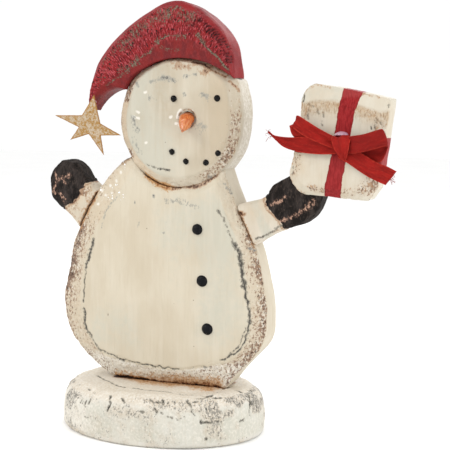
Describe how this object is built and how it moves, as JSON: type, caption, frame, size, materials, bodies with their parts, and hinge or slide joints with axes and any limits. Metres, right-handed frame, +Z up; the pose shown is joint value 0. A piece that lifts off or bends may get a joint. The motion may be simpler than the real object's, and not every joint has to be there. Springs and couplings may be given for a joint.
{
  "type": "snowman figure",
  "caption": "Carved and painted slab-wood snowman on an oval foot, with a drooping red cap, a sheet-metal star and a gift block tied with a ribbon bow.",
  "frame": {"origin": "middle of the foot's flat underside", "axes": "+Z up, the figure faces -Y, +X towards the arm that carries the gift"},
  "size_m": [0.2347, 0.098, 0.2706],
  "materials": {
    "cream_paint": "aged cream milk paint over wood, waxed and rubbed",
    "base_paint": "off-white distressed paint over wood",
    "face_paint": "cool cream paint with grey scuffs and mica flecks",
    "hat_paint": "crimson paint, brushed and rubbed through on the ridges",
    "arm_paint": "cream sleeve and black mitten paint, rubbed",
    "gift_paint": "cream paint with painted red bands, brown rubbed edges",
    "ribbon": "woven scarlet ribbon with a satin sheen",
    "clear_glue": "clear set glue",
    "gold_sheet": "antique gold leaf with fine glitter",
    "orange_paint": "glossy orange paint",
    "tack_black": "glossy black enamel",
    "button_black": "satin blue-black paint",
    "bare_wood": "bare hardwood dowel",
    "screw_steel": "zinc-plated steel"
  },
  "bodies": {
    "root": {"base": "base_paint", "body": "cream_paint", "head": "face_paint", "hat": "hat_paint", "waving_arm": "arm_paint", "gift_arm": "arm_paint", "gift_block": "gift_paint", "ribbon_bow": "ribbon", "bow_glue": "clear_glue", "star": "gold_sheet", "star_glue": "clear_glue", "nose": "orange_paint", "eye_tack_left": "tack_black", "eye_tack_right": "tack_black", "mouth_tack_1": "tack_black", "mouth_tack_2": "tack_black", "mouth_tack_3": "tack_black", "mouth_tack_4": "tack_black", "button_top": "button_black", "button_middle": "button_black", "button_bottom": "button_black", "neck_dowels": "bare_wood", "hat_dowels": "bare_wood", "waving_arm_dowel": "bare_wood", "gift_arm_dowel": "bare_wood", "gift_dowel": "bare_wood", "base_screws": "screw_steel"}
  },
  "joints": []
}
